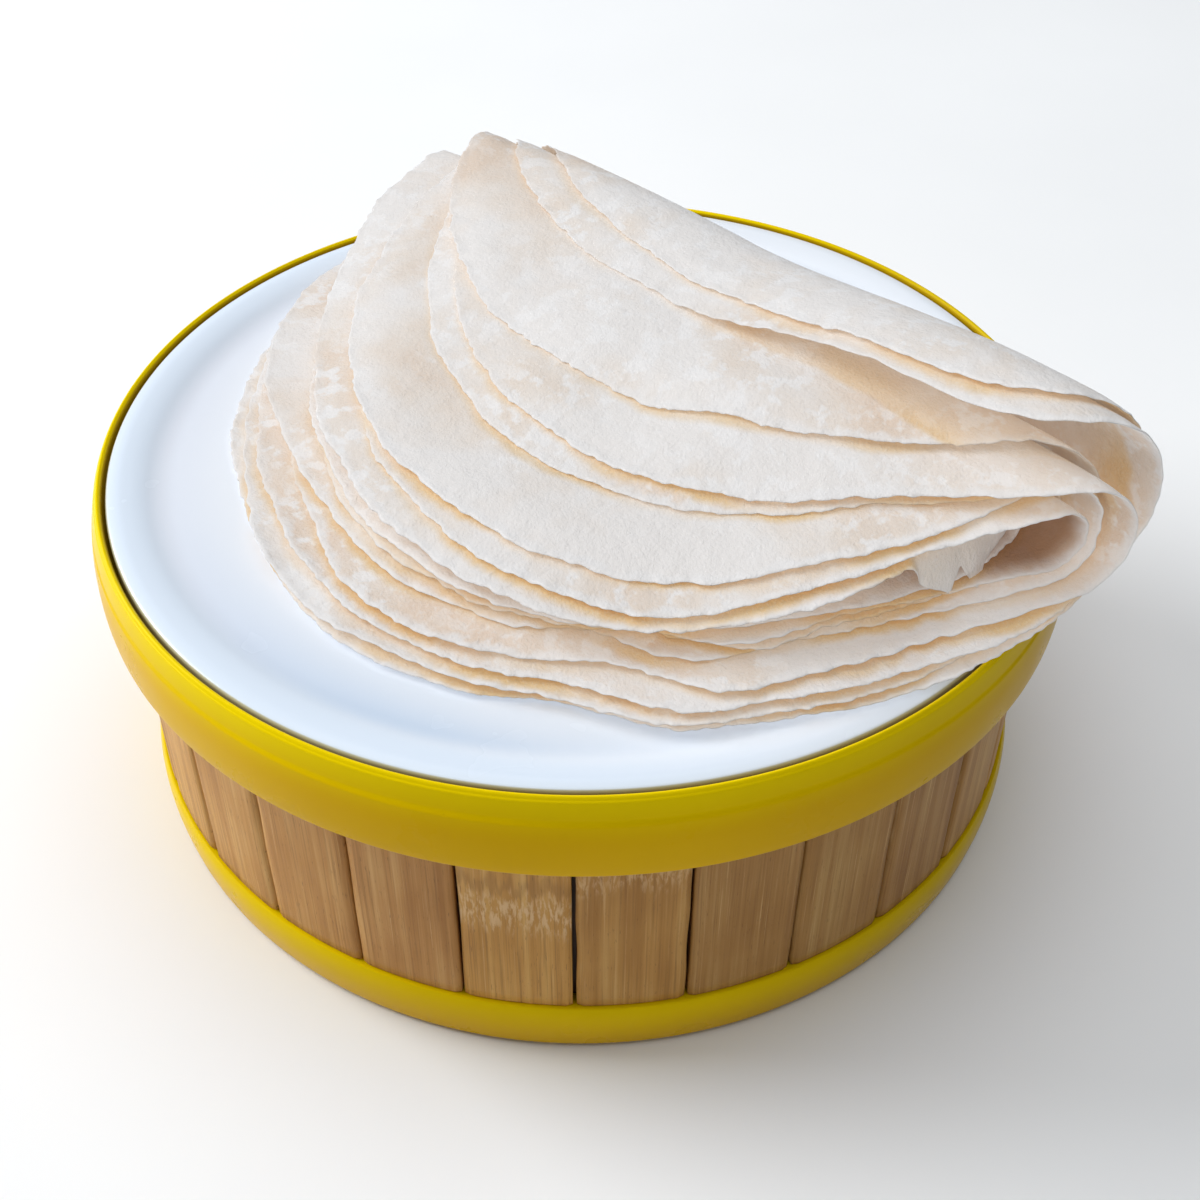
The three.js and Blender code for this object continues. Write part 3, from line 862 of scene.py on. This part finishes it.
# ---------------------------------------------------------------- stage
def build_stage(doughs, others):
    """The floor, the world and the lamps. The dough has lamps of its own, in metres and watts."""
    mesh = bpy.data.meshes.new("floor")
    end = 6.0
    corners = [(-end, -end, 0), (end, -end, 0), (end, end, 0), (-end, end, 0)]
    mesh.from_pydata(corners, [], [(0, 1, 2, 3)])
    floor = bpy.data.objects.new("floor", mesh)
    bpy.context.scene.collection.objects.link(floor)
    n = Nodes("pale_floor")
    cloud = n.noise(n.coordinates(), 6, 3)
    colour = n.ramp(cloud, [(0.3, linear(239, 238, 237)), (0.7, linear(243, 242, 241))])
    mesh.materials.append(n.base(colour, 0.8))

    world = bpy.data.worlds.new("studio")
    bpy.context.scene.world = world
    world.use_nodes = True
    background = world.node_tree.nodes["Background"].inputs
    background["Color"].default_value = (0.86, 0.93, 1.0, 1)
    background["Strength"].default_value = 0.25
    bpy.context.scene.view_settings.view_transform = "Standard"

    def lamp_at(name, lamp, place, target, power, colour, lights_only, shaded_by=None):
        lamp.energy = power
        lamp.color = colour
        holder = bpy.data.objects.new(name, lamp)
        holder.location = place
        holder.rotation_mode = "QUATERNION"
        holder.rotation_quaternion = (Vector(target) - Vector(place)).to_track_quat("-Z", "Y")
        bpy.context.scene.collection.objects.link(holder)
        holder.light_linking.receiver_collection = lights_only
        if shaded_by is not None:
            holder.light_linking.blocker_collection = shaded_by

    def area(name, place, target, size, power, colour, lights_only, shaded_by=None):
        lamp = bpy.data.lights.new(name, "AREA")
        lamp.shape = "DISK"
        lamp.size = size
        lamp_at(name, lamp, place, target, power, colour, lights_only, shaded_by)

    def thin_sheet_light(name, place, strength, colour, lights_only):
        """Light that has passed through the thin dough: it reaches the gaps, without shadows."""
        lamp = bpy.data.lights.new(name, "SUN")
        lamp.angle = 0.5
        lamp.use_shadow = False
        lamp_at(name, lamp, place, (0, 0, 0.1), strength, colour, lights_only)

    above, left = (0.0, 0.1, 1.5), (-2.1, 0.7, 1.25)
    cool, centre = (0.95, 0.975, 1.0), (0, 0, 0.07)
    area("overhead", above, centre, 1.6, 4.5, cool, others)
    area("overhead_past_dough", above, centre, 1.6, 8.5, cool, others, others)
    area("key", left, centre, 1.6, 38.0, cool, others)
    area("key_past_dough", left, centre, 1.6, 26.0, cool, others, others)
    area("overhead_dough", above, centre, 2.4, 5.2, (0.92, 0.96, 1.0), doughs)
    area("key_dough", (-1.1, 0.25, 1.0), centre, 1.2, 8.8, (0.95, 0.97, 1.0), doughs)
    thin_sheet_light("through_sheets", (-0.1, -0.35, 1.0), 0.72, (1.0, 0.90, 0.80), doughs)
    thin_sheet_light("through_fold", (-1.0, -0.8, 0.25), 0.30, (1.0, 0.87, 0.76), doughs)


def build_camera():
    """The photograph's camera."""
    data = bpy.data.cameras.new("camera")
    data.sensor_width = SENSOR_WIDTH
    data.lens = SENSOR_WIDTH * FOCAL_LENGTH / FRAME_SIZE
    data.clip_start = 0.01
    data.dof.use_dof = False
    camera = bpy.data.objects.new("camera", data)
    turn = Matrix.Rotation(math.pi / 2 - CAMERA_TILT, 4, "X") @ Matrix.Rotation(CAMERA_ROLL, 4, "Z")
    camera.matrix_world = Matrix.Translation(Vector(CAMERA_PLACE) * MM) @ turn
    bpy.context.scene.collection.objects.link(camera)
    bpy.context.scene.camera = camera


doughs, others = bpy.data.collections.new("doughs"), bpy.data.collections.new("others")
build_stage(doughs, others)
build_camera()
build_box()
dough_material = dough()
for cake_index in range(PANCAKE_COUNT):
    build_pancake(cake_index, dough_material)

for piece in bpy.context.scene.objects:
    if piece.type == "MESH":
        (doughs if piece.name.startswith("thin_pancake") else others).objects.link(piece)
